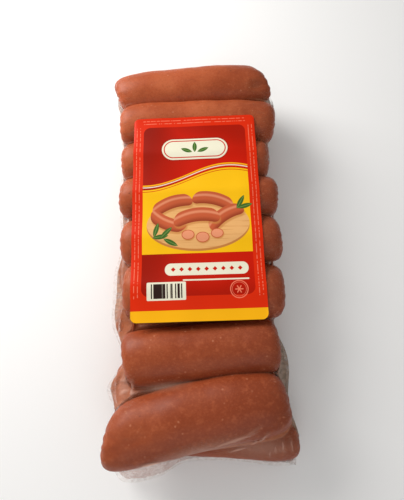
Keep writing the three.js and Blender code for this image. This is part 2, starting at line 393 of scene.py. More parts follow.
# %% [markdown]
# ## The film's form
# Vacuum film behaves like a stretched skin: it lies on whatever stands out and spans what lies between. A
# cloth simulation could find that form, but slowly, and it would slide. A net of heights does it at once:
# the net is held at the sealed edge, pulled inwards a little, averaged again and again, and never let into
# a link.

# %% The sealed edge in plan
FLANGE_MARGIN = 0.8
WEB_REACH = 8.0
SLACK_WEBS = [(66, 131), (66, 119), (60, -71), (61, -82), (59, -103), (-60.5, -31)]
FAR_EDGE = [(-56, 148), (-30, 152), (20, 153), (50, 151), (59, 146)]
NEAR_EDGE = [(-60, -146), (-54, -153), (-30, -151), (-12, -142), (18, -141), (48, -145), (63, -145)]


def side_edge(side):
    webs = [web for web in SLACK_WEBS if web[0] * side > 0]
    tips = [tip(link, side) for link in STRING]
    hugged = [t for t in tips if all(abs(web[1] - t.y) > WEB_REACH for web in webs)]
    points = sorted([(t.x + side * FLANGE_MARGIN, t.y) for t in hugged] + webs, key=lambda p: p[1])
    end = 0 if side < 0 else -1
    return [NEAR_EDGE[end], *points, FAR_EDGE[end]]


print("points down the left and right edges", len(side_edge(-1)), len(side_edge(1)))

# %% A net over the whole outline
FILM_COLUMNS = 70
FILM_ROWS = 170


def film_net():
    s = (1 - np.cos(np.pi * np.linspace(0, 1, FILM_COLUMNS + 1))) / 2
    t = np.linspace(0, 1, FILM_ROWS + 1)
    left, right = smooth_curve(side_edge(-1), t), smooth_curve(side_edge(1), t)
    near, far = smooth_curve(NEAR_EDGE, s), smooth_curve(FAR_EDGE, s)
    u, v = s[None, :, None], t[:, None, None]
    net = left[:, None] * (1 - u) + right[:, None] * u + near[None] * (1 - v) + far[None] * v
    net = net - near[0] * (1 - u) * (1 - v) - near[-1] * u * (1 - v)
    net = net - far[0] * (1 - u) * v - far[-1] * u * v
    low, high = net.min((0, 1)), net.max((0, 1))
    room = np.array([cad_high.x - cad_low.x, cad_high.y - cad_low.y]) / MM
    return (net - (low + high) / 2) * room / (high - low)


net = film_net()
print("net", net.shape, "from", net.min((0, 1)).round(1), "to", net.max((0, 1)).round(1))

# %% How far the links reach over the net
FILM_SINK = 1.2


def half_thickness(link, x, y, sink):
    along = (x - link["x"]) * math.cos(link["turn"]) + (y - link["y"]) * math.sin(link["turn"])
    across = -(x - link["x"]) * math.sin(link["turn"]) + (y - link["y"]) * math.cos(link["turn"])
    half = link["length"] / 2 - sink
    u = along / half
    across = across - link["arch"] * (1 - u * u)
    skew = np.where(u > 0, link["right_skew"], -link["left_skew"]) * across * u * u
    full = fullness(link, (along - skew) / half)
    flat = across / np.maximum(full * (link["width"] / 2 - sink), 1e-6)
    bulge = np.sqrt(np.clip(1 - flat**2, 0, 1))
    return np.where(np.abs(flat) < 1, full * (link["height"] / 2 - sink) * bulge, 0)


def reach_of_links(x, y, sink, side):
    reach = np.full(x.shape, -np.inf)
    for link in STRING:
        half = half_thickness(link, x, y, sink)
        reach = np.where(half > 0, np.maximum(reach, side * link["z"] + half), reach)
    return side * reach


print("crown of the links in mm", reach_of_links(net[..., 0], net[..., 1], FILM_SINK, 1).max().round(1))

# %% The taut film above and below
FLANGE_Z = 25.0
FLANGE_NEAR_Z = 9.0
FLANGE_DIPS_FROM = 100.0
FILM_PULL = 0.2
FILM_ROUNDS = 500
SEAL_THICKNESS = 1.2


def flange_z(y):
    share = np.clip((-y - FLANGE_DIPS_FROM) / (cad_high.y / MM - FLANGE_DIPS_FROM), 0, 1)
    return FLANGE_Z + (FLANGE_NEAR_Z - FLANGE_Z) * share * share * (3 - 2 * share)


def film_heights(net, side, seal_thickness):
    seal = flange_z(net[..., 1]) + (SEAL_THICKNESS + side * seal_thickness) / 2
    limit = side * np.maximum(side * seal, side * reach_of_links(net[..., 0], net[..., 1], FILM_SINK, side))
    z = seal.copy()
    for _ in range(FILM_ROUNDS):
        taut = (z[:-2, 1:-1] + z[2:, 1:-1] + z[1:-1, :-2] + z[1:-1, 2:]) / 4 - side * FILM_PULL
        z[1:-1, 1:-1] = side * np.maximum(side * limit[1:-1, 1:-1], side * taut)
    return z


def closed_sheet(name, net, low, high):
    """A closed mesh between two sets of heights over a net of points in plan."""
    rows, columns = net.shape[:2]
    verts = [np.dstack([net, z]).reshape(-1, 3) for z in (low, high)]
    layer = rows * columns
    index = np.arange(layer).reshape(rows, columns)
    a, b, c, d = (index[:-1, :-1], index[:-1, 1:], index[1:, 1:], index[1:, :-1])
    quads = np.stack([a, b, c, d], -1).reshape(-1, 4)
    faces = [*(quads[:, ::-1]).tolist(), *(quads + layer).tolist()]
    rim = [*index[0, :], *index[1:, -1], *index[-1, -2::-1], *index[-2:0:-1, 0]]
    for here, there in zip(rim, rim[1:] + rim[:1]):
        faces.append((int(here), int(there), int(there) + layer, int(here) + layer))
    return new_piece(name, (np.vstack(verts) * MM).tolist(), faces)


print("height of the seal at the far and near end in mm", flange_z(np.array([150.0, -150.0])).round(1))

# %% [markdown]
# ## The film
# The net alone is too smooth at the links' ends, which it can't reach round. So a fatter copy of every link
# and neck is joined with it, and a voxel remesh melts them into one skin. Smoothing rounds the skin over
# the creases, as film bridges a gap that is too narrow for it.

# %% One skin over everything
BODY_INSET = 1.6
BODY_SEAL = 2.4
FILM_GROW = 0.35
FILM_VOXEL = 1.25
FILM_SMOOTHING = 24


def applied(piece, kind, **settings):
    """Adds a modifier to a piece and applies it."""
    bpy.ops.object.select_all(action="DESELECT")
    piece.select_set(True)
    bpy.context.view_layer.objects.active = piece
    modifier = piece.modifiers.new(kind.lower(), kind)
    for name, value in settings.items():
        setattr(modifier, name, value)
    bpy.ops.object.modifier_apply(modifier=modifier.name)
    return piece


half_room = np.array([cad_high.x, cad_high.y]) / MM
body_net = net * (half_room - BODY_INSET) / half_room
film = closed_sheet(
    "film", body_net, film_heights(body_net, -1, BODY_SEAL), film_heights(body_net, 1, BODY_SEAL)
)
formers = [make_link(f"former_{i}", link, i, FILM_GROW) for i, link in enumerate(STRING)]
formers += [
    make_neck(f"neck_former_{i}", STRING[i], STRING[i + 1], side, FILM_GROW)
    for i, side in enumerate(NECK_SIDE)
]
bpy.ops.object.select_all(action="DESELECT")
for former in formers:
    former.select_set(True)
film.select_set(True)
bpy.context.view_layer.objects.active = film
bpy.ops.object.join()
applied(film, "REMESH", mode="VOXEL", voxel_size=FILM_VOXEL * MM)
applied(film, "SMOOTH", factor=0.5, iterations=FILM_SMOOTHING)
print("triangles in the film", 2 * len(film.data.polygons))

# %% [markdown]
# ## Where the film lies tight
# Film that touches the meat looks clear, and film that stands off looks milky, so each point of the film is
# told how far it is from the nearest link or twist. The distance is kept as an attribute, which the
# material reads later. Points that came too close are lifted first, because two surfaces in one place
# flicker.

# %% How far the film stands off the meat
NEAREST_FILM = 0.22
HUGGING = (0.7, 2.2)
BRIDGING = (1.2, 5.0)
END_BRIDGING = (0.5, 2.4)
END_OF_LINKS = (36, 52)


def surface_tree(pieces):
    """One search tree over the faces of several pieces."""
    verts, faces = [], []
    for piece in pieces:
        first = len(verts)
        verts += [v.co.copy() for v in piece.data.vertices]
        faces += [[first + k for k in f.vertices] for f in piece.data.polygons]
    return BVHTree.FromPolygons(verts, faces)


def rise(value, span):
    """A smooth step from 0 to 1 as the value goes through a span."""
    share = min(1.0, max(0.0, (value - span[0]) / (span[1] - span[0])))
    return share * share * (3 - 2 * share)


meat = surface_tree(links + necks)
away = []
lifted = 0
for vertex in film.data.vertices:
    place, normal, _, distance = meat.find_nearest(vertex.co)
    distance = math.copysign(distance, (vertex.co - place).dot(normal)) / MM
    if distance < NEAREST_FILM:
        vertex.co = place + normal * NEAREST_FILM * MM
        distance = NEAREST_FILM
        lifted += 1
    away.append(distance)
print("film points lifted clear of the meat", lifted, "of", len(away))

# %% Slack film, and film with nothing behind it
slack = film.data.attributes.new("slack", "FLOAT", "POINT")
web = film.data.attributes.new("web", "FLOAT", "POINT")
DOWN = Vector((0, 0, -1))
for vertex, distance in zip(film.data.vertices, away):
    at_ends = rise(abs(vertex.co.x) / MM, END_OF_LINKS)
    span = [middle + (end - middle) * at_ends for middle, end in zip(BRIDGING, END_BRIDGING)]
    slack.data[vertex.index].value = rise(distance, span)
    if distance > HUGGING[0] and meat.ray_cast(vertex.co, DOWN)[0] is None:
        web.data[vertex.index].value = rise(distance, HUGGING)
print("slack film points", sum(d.value > 0.5 for d in slack.data), "of", len(slack.data))

# %% [markdown]
# ## Wrinkles and folds
# Slack film is never smooth. Two things are laid over it: fine wrinkles everywhere it stands off, which run
# down the pack's sides, and a few longer folds, each a straight ridge between two points, where the real
# film is pulled from one link's corner to the next. A fold is also paler than the film beside it, partly
# as folded film's own whitening and partly as a painted highlight along the ridge. The last few have no
# height at all: they are the soft hazes of film that lies loose on the meat.

# %% Ridges on the film
WRINKLE_STEP = 3.4
WRINKLE_LENGTH = 22.0
WRINKLE_DRIFT = 60.0
WRINKLE_HEIGHT = 0.5
FOLD_REACH = 5.0
FOLDS_ABOVE = 15.0
ABOVE_FLOOR = 0.02
# Each fold: two points in mm, its height, its half width, and how pale it is from 0 to 1
FOLDS = [
    ((-37.6, -134.3, 51.5), (-24.6, -132.1, 50.7), 0.9, 1.2, 1.0),
    ((1.9, -125.8, 52.5), (33.5, -115.9, 56.7), 0.7, 1.2, 0.7),
    ((14.3, -134.1, 25.1), (30.6, -129.2, 29.6), 0.8, 1.2, 0.7),
    ((30.6, -129.2, 29.6), (39.7, -117.0, 54.5), 0.9, 1.2, 0.8),
    ((16.9, -123.4, 52.7), (36.0, -112.4, 58.1), 0.4, 1.2, 0.4),
    ((42.4, -131.7, 27.6), (43.8, -138.7, 23.2), 0.6, 1.1, 0.6),
    ((45.7, -126.6, 29.7), (47.5, -136.4, 25.7), 0.6, 1.1, 0.6),
    ((51.2, -125.8, 28.4), (52.9, -136.0, 25.2), 0.7, 1.1, 0.7),
    ((57.0, -125.2, 25.8), (58.5, -135.4, 23.5), 0.6, 1.1, 0.6),
    ((-43.5, -85.4, 48.3), (-44.4, -91.5, 40.3), 0.9, 1.2, 0.9),
    ((-44.4, -91.5, 40.3), (-45.2, -96.1, 42.3), 0.9, 1.2, 0.9),
    ((-56.1, -87.1, 27.7), (-46.0, -86.0, 42.0), 0.7, 1.2, 0.7),
    ((-55.0, -95.0, 31.0), (-46.0, -92.0, 39.0), 0.7, 1.2, 0.7),
    ((55.9, 87.4, 36.0), (50.8, 61.0, 48.6), 0.8, 1.2, 0.5),
    ((57.0, 80.0, 34.0), (52.5, 56.0, 42.0), 0.6, 1.2, 0.4),
    ((-56.5, -32.2, 29.8), (-59.7, -46.1, 26.7), 0.7, 1.2, 0.6),
    ((-24.0, -132.0, 49.0), (26.0, -121.0, 53.0), 0.0, 5.5, 0.5),
    ((14.0, -133.0, 26.0), (60.0, -131.0, 26.0), 0.0, 7.0, 0.45),
    ((-42.0, -91.0, 41.0), (-8.0, -89.0, 47.0), 0.0, 3.0, 0.4),
    ((-56.0, -84.0, 28.0), (-49.0, -97.0, 36.0), 0.0, 6.0, 0.3),
]


def folds_at(point):
    """How high the folds stand at a point of the film, in mm, and how pale they make it."""
    height, pale = 0.0, 0.0
    for start, end, top, width, milk in FOLDS:
        distance, share = off_line(point, start, end)
        if distance > FOLD_REACH + width:
            continue
        beside = (point - Vector(start).lerp(Vector(end), share)).xy
        if 0 < share < 1:
            beside = abs(beside.cross((Vector(end) - Vector(start)).xy.normalized()))
        else:
            beside = beside.length
        here = (0.35 + 0.65 * math.sin(math.pi * share)) * math.exp(-((beside / width) ** 2))
        height += top * here
        pale = max(pale, milk * here)
    return height, pale


# crease keeps how pale the folds and hazes are; along the ridges of the folds the paleness is partly a
# painted highlight.
crease = film.data.attributes.new("crease", "FLOAT", "POINT")
normals = [v.normal.copy() for v in film.data.vertices]
for vertex, normal in zip(film.data.vertices, normals):
    point = vertex.co / MM
    height, pale = folds_at(point) if point.z > FOLDS_ABOVE else (0.0, 0.0)
    crease.data[vertex.index].value = pale
    amount = max(slack.data[vertex.index].value, web.data[vertex.index].value)
    if amount > 0:
        facing = abs(normal.x) / (abs(normal.x) + abs(normal.y) + 1e-6)
        across = point.y * facing + point.x * (1 - facing)
        place = Vector((across / WRINKLE_STEP, point.z / WRINKLE_LENGTH, point.x / WRINKLE_DRIFT))
        height += amount * WRINKLE_HEIGHT * noise.noise(place)
    vertex.co += normal * height * MM
    vertex.co.z = max(vertex.co.z, ABOVE_FLOOR * MM)
bpy.ops.object.select_all(action="DESELECT")
film.select_set(True)
bpy.context.view_layer.objects.active = film
bpy.ops.object.shade_smooth()
print("folds", sum(fold[2] > 0 for fold in FOLDS), "and hazes", sum(fold[2] == 0 for fold in FOLDS))

# %% [markdown]
# ## The sealed edge
# Where the two films meet they are welded into a thin flat strip. It is one band of faces that starts
# inside the film and follows its outline, waved a little, and Solidify gives it a thickness.

# %% A thin wavy strip
STRIP_STEPS = 7
STRIP_DEPTH = 10
STRIP_THICKNESS = 0.35
STRIP_WAVE = 0.5

rim = np.vstack([net[0, :], net[1:, -1], net[-1, -2::-1], net[-2:0:-1, 0]])
centre_line = np.roll(rim, -1, 0) - np.roll(rim, 1, 0)
outwards = np.stack([centre_line[:, 1], -centre_line[:, 0]], -1)
outwards /= np.linalg.norm(outwards, axis=1)[:, None]
verts, faces = [], []
for place, out in zip(rim, outwards):
    for step in range(STRIP_STEPS + 1):
        inset = STRIP_DEPTH * step / STRIP_STEPS
        x, y = place - out * inset
        wave = STRIP_WAVE * noise.noise(Vector((x / 7, y / 7, 3))) * (1 - step / STRIP_STEPS)
        verts.append(Vector((x, y, float(flange_z(y)) + SEAL_THICKNESS / 2 + wave)) * MM)
wide = STRIP_STEPS + 1
for k in range(len(rim)):
    here, there = k * wide, (k + 1) % len(rim) * wide
    for step in range(STRIP_STEPS):
        faces.append((here + step, there + step, there + step + 1, here + step + 1))
sealed_edge = new_piece("sealed_edge", verts, faces)
applied(sealed_edge, "SOLIDIFY", thickness=STRIP_THICKNESS * MM, offset=0)
print("faces in the sealed edge", len(sealed_edge.data.polygons))

# %% [markdown]
# ## The label
# The label is a coated sheet, stiffer than the film. It rests on the crowns of the links and dips a little
# between them, and its near end hangs free over the next groove. Its form is found like the film's, but
# along the pack only, on top of the film that is really there.

# %% A sheet that rests on the crowns
LABEL_WIDTH = 90.0
LABEL_LENGTH = 151.0
LABEL_Y = 25.0
LABEL_CORNER = 4.0
LABEL_COLUMNS = 60
LABEL_ROWS = 110
LABEL_THICKNESS = 0.3
LABEL_GAP = 0.12
LABEL_PULL = 0.009
LABEL_ROUNDS = 4000

film_tree = surface_tree([film])


def top_of_film(x, y):
    place, _, _, _ = film_tree.ray_cast(Vector((x * MM, y * MM, 0.2)), Vector((0, 0, -1)))
    return place.z / MM if place else UPPER_Z


label_x = -LABEL_WIDTH / 2 * np.cos(np.pi * np.linspace(0, 1, LABEL_COLUMNS + 1))
past = np.clip(np.abs(label_x) - (LABEL_WIDTH / 2 - LABEL_CORNER), 0, None)
cut = LABEL_CORNER - np.sqrt(np.clip(LABEL_CORNER**2 - past**2, 0, None))
label_net = np.zeros((LABEL_ROWS + 1, LABEL_COLUMNS + 1, 2))
label_net[..., 0] = label_x
label_net[..., 1] = LABEL_Y + np.linspace(-1, 1, LABEL_ROWS + 1)[:, None] * (LABEL_LENGTH / 2 - cut)
rest = np.array([[top_of_film(x, y) for x, y in row] for row in label_net]) + LABEL_GAP
heights = np.full(rest.shape, rest.max())
for _ in range(LABEL_ROUNDS):
    padded = np.vstack([heights[1:2], heights, heights[-2:-1]])
    heights = np.maximum(rest, (padded[:-2] + padded[2:]) / 2 - LABEL_PULL)
label = closed_sheet("label_sheet", label_net, heights, heights + LABEL_THICKNESS)
bpy.ops.object.shade_smooth_by_angle(angle=math.radians(40))
print("label heights in mm", heights.min().round(1), heights.max().round(1))

# %% [markdown]
# ## Finishes
# Colour, wear and print are worked out by nodes. Sums of sockets are long-winded to write as nodes, so a
# small class stands for a socket and lets Python's own signs add the Math nodes.

# %% Sockets that can be added and multiplied
class Wire:
    """A socket of a material. Arithmetic on it adds Math nodes."""

    def __init__(self, paint, socket):
        self.paint, self.socket = paint, socket

    def maths(self, operation, *values):
        return self.paint.node("ShaderNodeMath", {"operation": operation}, list(values))

    def __add__(self, other):
        return self.maths("ADD", self, other)

    def __sub__(self, other):
        return self.maths("SUBTRACT", self, other)

    def __rsub__(self, other):
        return self.maths("SUBTRACT", other, self)

    def __mul__(self, other):
        return self.maths("MULTIPLY", self, other)

    def __truediv__(self, other):
        return self.maths("DIVIDE", self, other)

    def __abs__(self):
        return self.maths("ABSOLUTE", self)

    def high(self, other):
        return self.maths("MAXIMUM", self, other)

    def root(self):
        return self.maths("SQRT", self)


class Paint:
    """A material whose nodes are added by calls."""

    def __init__(self, name):
        self.material = bpy.data.materials.new(name)
        self.material.use_nodes = True
        self.nodes = self.material.node_tree.nodes
        self.surface = self.nodes["Principled BSDF"]

    def feed(self, socket, value):
        if isinstance(value, Wire):
            self.material.node_tree.links.new(value.socket, socket)
        else:
            socket.default_value = value

    def node(self, kind, settings=None, values=None, out=0):
        """Adds a node: its settings first, then what its sockets get, by name or in order."""
        made = self.nodes.new(kind)
        for name, value in (settings or {}).items():
            if name == "stops":
                self.set_stops(made.color_ramp, value)
            else:
                setattr(made, name, value)
        pairs = values.items() if isinstance(values, dict) else enumerate(values or [])
        for name, value in pairs:
            self.feed(made.inputs[name], value)
        return Wire(self, made.outputs[out])

    def set_stops(self, ramp, stops):
        while len(ramp.elements) < len(stops):
            ramp.elements.new(0.5)
        for element, (place, shade) in zip(ramp.elements, stops):
            element.position = place
            element.color = (*shade, 1)

    def places(self):
        return self.node("ShaderNodeTexCoord", out="Object")

    def parts(self, where):
        """The x, y and z of a place."""
        outputs = self.node("ShaderNodeSeparateXYZ", {}, [where]).socket.node.outputs
        return [Wire(self, outputs[axis]) for axis in ("X", "Y", "Z")]

    def blend(self, share, first, second):
        """A colour between two colours."""
        first, second = (c if isinstance(c, Wire) else (*c, 1) for c in (first, second))
        made = self.nodes.new("ShaderNodeMix")
        made.data_type = "RGBA"
        self.feed(made.inputs["Factor"], share)
        self.feed(made.inputs[6], first)
        self.feed(made.inputs[7], second)
        return Wire(self, made.outputs[2])

    def step(self, value, start, end, low=0.0, high=1.0):
        """A smooth step from low to high as the value goes from start to end."""
        values = {"Value": value, "From Min": start, "From Max": end, "To Min": low, "To Max": high}
        return self.node("ShaderNodeMapRange", {"interpolation_type": "SMOOTHSTEP"}, values)

    def clouds(self, where, size, detail=2.0, roughness=0.5, stretch=None):
        """Soft noise with blobs of about that size, in mm."""
        if stretch:
            where = self.node("ShaderNodeMapping", {}, {"Vector": where, "Scale": stretch})
        values = {"Vector": where, "Scale": 1 / (size * MM), "Detail": detail, "Roughness": roughness}
        return self.node("ShaderNodeTexNoise", {}, values)

    def bump(self, height, strength, distance):
        values = {"Strength": strength, "Distance": distance * MM, "Height": height}
        return self.node("ShaderNodeBump", {}, values)

    def wear(self, name, value):
        self.feed(self.surface.inputs[name], value)


def colour(red, green, blue):
    """A colour given as on a screen, from 0 to 255, in the light's own measure."""
    shares = [c / 255 for c in (red, green, blue)]
    return tuple(c / 12.92 if c <= 0.04045 else ((c + 0.055) / 1.055) ** 2.4 for c in shares)


print("half grey in the light's own measure", round(colour(128, 128, 128)[0], 3))

# %% [markdown]
# ## The casing
# The meat is a fine pink-brown paste under a thin casing. Up close it is mottled: broad soft patches a
# little redder or paler, small pale specks of fat, and here and there a dark speck of spice. Painted shade
# deepens the colour of all links towards the near right of the pack and towards their right ends, where
# the window's light falls off. The casing is moist, so a clear coat lies on it.

# %% Meat
def meat_paint(name, shade=1.0):
    paint = Paint(name)
    where = paint.places()
    patches = paint.clouds(where, 24, 3)
    flesh = paint.node("ShaderNodeValToRGB", {"stops": [
        (0.3, colour(162 * shade, 70 * shade, 32 * shade)),
        (0.5, colour(178 * shade, 82 * shade, 41 * shade)),
        (0.7, colour(189 * shade, 94 * shade, 51 * shade)),
    ]}, [patches])
    across, along, _ = paint.parts(where)
    # Painted shade: the flesh goes deeper towards the near right of the pack, and below towards the right
    # ends, where the window's light falls off.
    painted_shade = paint.step(across * 0.8 - along, -120 * MM, 160 * MM, 0, 0.68)
    deep = colour(118, 46, 20)
    flesh = paint.blend(painted_shade, flesh, deep)
    flesh = paint.blend(paint.step(across, -10 * MM, 60 * MM, 0, 0.5), flesh, deep)
    for size, share in ((4.5, 0.34), (1.4, 0.28)):
        grain = paint.clouds(where, size, 4, 0.7)
        flesh = paint.blend(paint.step(grain, 0.5, 0.7, 0, share), flesh, colour(186, 99, 61))
        flesh = paint.blend(paint.step(grain, 0.5, 0.3, 0, share), flesh, colour(130, 52, 24))
    fat = paint.node("ShaderNodeTexVoronoi", {"feature": "F1"}, {"Vector": where, "Scale": 1 / (4.2 * MM)})
    fat_here = paint.step(paint.clouds(where, 13, 2), 0.48, 0.62)
    flesh = paint.blend(paint.step(fat, 0.1, 0.22, 0.42, 0) * fat_here, flesh, colour(206, 134, 100))
    spice = paint.node("ShaderNodeTexVoronoi", {"feature": "F1"}, {"Vector": where, "Scale": 1 / (13 * MM)})
    flesh = paint.blend(paint.step(spice, 0.03, 0.06, 0.6, 0), flesh, colour(88, 34, 16))
    paint.wear("Base Color", flesh)
    paint.wear("Roughness", paint.step(patches, 0.3, 0.7, 0.42, 0.56))
    paint.wear("Specular IOR Level", 0.2)
    paint.wear("Coat Weight", 0.05)
    paint.wear("Coat Roughness", 0.3)
    bumps = paint.clouds(where, 2.0, 3, 0.55)
    paint.wear("Normal", paint.bump(bumps, 0.3, 0.25))
    return paint.material


casing = meat_paint("sausage_casing")
twisted = meat_paint("twisted_casing", 0.97)
print("nodes in the casing", len(casing.node_tree.nodes))

# %% [markdown]
# ## Clear film
# Where the film touches the meat it almost disappears, and only its gloss shows. Where it stands off it is
# milky, and where nothing lies behind it the two films look grey, with painted light on the left and painted
# shade on the right, and with pale streaks along their wrinkles. The attributes slack and web, measured
# above, tell the three apart, and crease makes the folds pale, partly as a painted highlight.

# %% Film
def film_paint():
    paint = Paint("clear_film")
    where = paint.places()
    slack_here = paint.node("ShaderNodeAttribute", {"attribute_name": "slack"}, out="Fac")
    web_here = paint.node("ShaderNodeAttribute", {"attribute_name": "web"}, out="Fac")
    crease_here = paint.node("ShaderNodeAttribute", {"attribute_name": "crease"}, out="Fac")
    streaks = paint.clouds(where, 2.4, 3, 0.6, stretch=(0.35, 1.0, 0.15))
    across, along, up = paint.parts(where)
    # Painted light and shade: the grey of the webs is lighter on the left, towards the window, and darker on
    # the right.
    grey = paint.blend(paint.step(across, -30 * MM, 30 * MM), colour(186, 142, 119), colour(146, 122, 104))
    apron = paint.step(along, -130 * MM, -140 * MM)
    grey = paint.blend(apron, grey, colour(216, 184, 174))
    tint = paint.blend(slack_here, colour(186, 120, 90), colour(166, 90, 50))
    tint = paint.blend(web_here, tint, grey)
    tint = paint.blend(paint.step(streaks, 0.6, 0.8, 0, 0.3), tint, colour(196, 164, 144))
    # Pale folds and hazes: along the fold ridges the paleness is partly a painted highlight.
    tint = paint.blend(crease_here, tint, colour(224, 176, 158))
    paint.wear("Base Color", tint)
    near_ends = paint.step(abs(across), 34 * MM, 54 * MM)
    ticks = paint.clouds(where, 3.5, 4, 0.65, stretch=(0.35, 1.0, 0.6))
    web_milk = paint.step(across, -30 * MM, 30 * MM, 0.66, 0.8) * (1 - apron * 0.6)
    web_milk = web_milk * paint.step(up, 2 * MM, 8 * MM, 0.35, 1)
    web_milk = web_milk * paint.step(streaks, 0.35, 0.65, 0.7, 1.15)
    milk_and_shaded_webs = slack_here * (1 - web_here) * 0.66 + web_here * web_milk
    veil = milk_and_shaded_webs * paint.step(streaks, 0.3, 0.7, 0.85, 1.12)
    veil = veil.high(crease_here * 0.8) + near_ends * paint.step(ticks, 0.5, 0.72, 0.03, 0.2)
    paint.wear("Alpha", veil + 0.05)
    paint.wear("Roughness", paint.step(streaks, 0.3, 0.7, 0.28, 0.44))
    paint.wear("IOR", 1.5)
    paint.wear("Specular IOR Level", 0.26)
    creases = paint.clouds(where, 4, 4, 0.6, stretch=(0.5, 1.0, 0.3))
    paint.wear("Normal", paint.bump(creases, 0.3, 0.25))
    return paint.material


def edge_paint():
    paint = Paint("sealed_film")
    where = paint.places()
    streaks = paint.clouds(where, 3, 4, 0.6)
    across, along, _ = paint.parts(where)
    # Painted shade: the webs of the sealed edge at the right, towards the far and the near end, are tinted
    # dark grey-brown for the shade behind them, and the same mask makes them milkier.
    near_webs = paint.step(abs(along + 88 * MM), 45 * MM, 32 * MM)
    far_webs = paint.step(abs(along - 114 * MM), 22 * MM, 12 * MM)
    milk_and_shaded_webs = near_webs.high(far_webs) * paint.step(across, 40 * MM, 50 * MM)
    clear = paint.blend(streaks, colour(206, 176, 166), colour(232, 216, 208))
    paint.wear("Base Color", paint.blend(milk_and_shaded_webs, clear, colour(156, 131, 111)))
    milk = paint.step(streaks, 0.35, 0.65, 0.4, 0.75)
    paint.wear("Alpha", paint.step(streaks, 0.35, 0.7, 0.05, 0.18).high(milk_and_shaded_webs * milk))
    paint.wear("Specular IOR Level", 0.3)
    paint.wear("Roughness", 0.36)
    paint.wear("Normal", paint.bump(streaks, 0.25, 0.3))
    return paint.material


clear_film = film_paint()
edge_film = edge_paint()
print("nodes in the two films", len(clear_film.node_tree.nodes), len(edge_film.node_tree.nodes))

# %% [markdown]
# ## The label's print
# The label is printed in flat colours, so each shape is a distance worked out from the place on the sheet:
# below zero inside the shape, above it outside. A shape's colour is laid over what is there by a sharp step
# at zero. The design is a generic one in the real label's colours: a red frame with rows of fine marks, a
# dark panel, a yellow wave, a sign with three leaves, a board with links, slices and leaves, and a plain
# ribbon, seal and bars below.

# %% Shapes as distances
class Print(Paint):
    """A flat print. x and y are places on the sheet in mm, from its middle."""

    def __init__(self, name, x, y, ink):
        super().__init__(name)
        across, along, _ = self.parts(self.places())
        self.x = across * (1 / MM) - x
        self.y = along * (1 / MM) - y
        self.ink = ink

    def box(self, x, y, half_width, half_height, corner):
        """The distance from a box with round corners."""
        over_x = (abs(self.x - x) - (half_width - corner)).high(0.0)
        over_y = (abs(self.y - y) - (half_height - corner)).high(0.0)
        return (over_x * over_x + over_y * over_y).root() - corner

    def ring(self, x, y, half_width, half_height):
        """The rough distance from an ellipse."""
        part_x, part_y = (self.x - x) / half_width, (self.y - y) / half_height
        return ((part_x * part_x + part_y * part_y).root() - 1.0) * min(half_width, half_height)

    def turned(self, x, y, angle):
        """The places along and across a motif that is turned by an angle."""
        cosine, sine = math.cos(math.radians(angle)), math.sin(math.radians(angle))
        along = (self.x - x) * cosine + (self.y - y) * sine
        across = (self.y - y) * cosine - (self.x - x) * sine
        return along, across

    def bar(self, x, y, half_length, radius, angle, bow=0.0):
        """The distance from a bar with round ends, and the height across it from -1 to 1."""
        along, across = self.turned(x, y, angle)
        if bow:
            across = across + along * along * (bow / half_length**2) - bow
        past = (abs(along) - half_length).high(0.0)
        return (past * past + across * across).root() - radius, across / radius

    def leaf(self, x, y, half_length, half_width, angle):
        """A leaf is where two circles overlap, with a pale line along its middle."""
        along, across = self.turned(x, y, angle)
        radius = (half_length**2 + half_width**2) / (2 * half_width)
        aside = abs(across) + (radius - half_width)
        leaf = (along * along + aside * aside).root() - radius
        self.lay(leaf, LEAF)
        self.lay((leaf + 0.3).high(abs(across) - 0.16), LEAF_LIGHT)

    def chance(self, cell, row):
        """A random share for each cell of a row."""
        place = self.node("ShaderNodeCombineXYZ", {}, [cell, row])
        return self.node("ShaderNodeTexWhiteNoise", {"noise_dimensions": "2D"}, {"Vector": place})

    def lay(self, distance, shade, strength=1.0, soft=0.12):
        """Lays a colour over the print wherever the distance is below zero."""
        self.ink = self.blend(self.step(distance, -soft, soft, strength, 0.0), self.ink, shade)

# %% Colours of the print
FRAME_RED = colour(220, 44, 8)
RED = colour(202, 27, 4)
DEEP_RED = colour(128, 18, 0)
YELLOW = colour(248, 190, 18)
GOLD = colour(250, 180, 18)
CREAM = colour(236, 232, 208)
WOOD = colour(232, 176, 112)
WOOD_EDGE = colour(196, 128, 66)
SAUSAGE = colour(196, 92, 56)
SAUSAGE_LIGHT = colour(232, 150, 112)
SAUSAGE_DARK = colour(128, 48, 24)
LEAF = colour(64, 104, 40)
LEAF_LIGHT = colour(128, 156, 84)
FINE_MARK = colour(244, 128, 98)

# %% Frame, panel and wave
PANEL = dict(x=0, y=4.5, half_width=37.6, half_height=63.5, corner=5)
BAND_HEIGHT = 7.5
WAVE_MIDDLE = 25
WAVE_HEIGHT = 8
WAVE_LENGTH = 19


def print_ground(paint):
    inside = paint.box(**PANEL)
    paint.lay(inside, RED)
    cloud = paint.clouds(paint.places(), 60, 1)
    corner = paint.step(paint.y + paint.x * 0.35, 46, 74, 0.0, 0.55)
    shade = corner.high(paint.step(paint.x, 2, -38, 0.0, 0.9))
    shade = shade.high(paint.step(paint.y, -32, -66, 0.0, 0.6)) * paint.step(cloud, 0.3, 0.7, 0.7, 1.0)
    paint.lay(inside, DEEP_RED, shade)
    wave = (paint.x + 6) / WAVE_LENGTH
    wave = paint.y - WAVE_MIDDLE - wave.maths("SINE", wave) * WAVE_HEIGHT
    paint.lay(inside.high(wave).high(-30 - paint.y), YELLOW)
    for lift, width, ink in ((2.0, 0.35, CREAM), (3.4, 0.5, GOLD), (-1.4, 0.25, RED)):
        paint.lay(inside.high(abs(wave - lift) - width), ink)
    paint.lay(paint.y + LABEL_LENGTH / 2 - BAND_HEIGHT, GOLD)

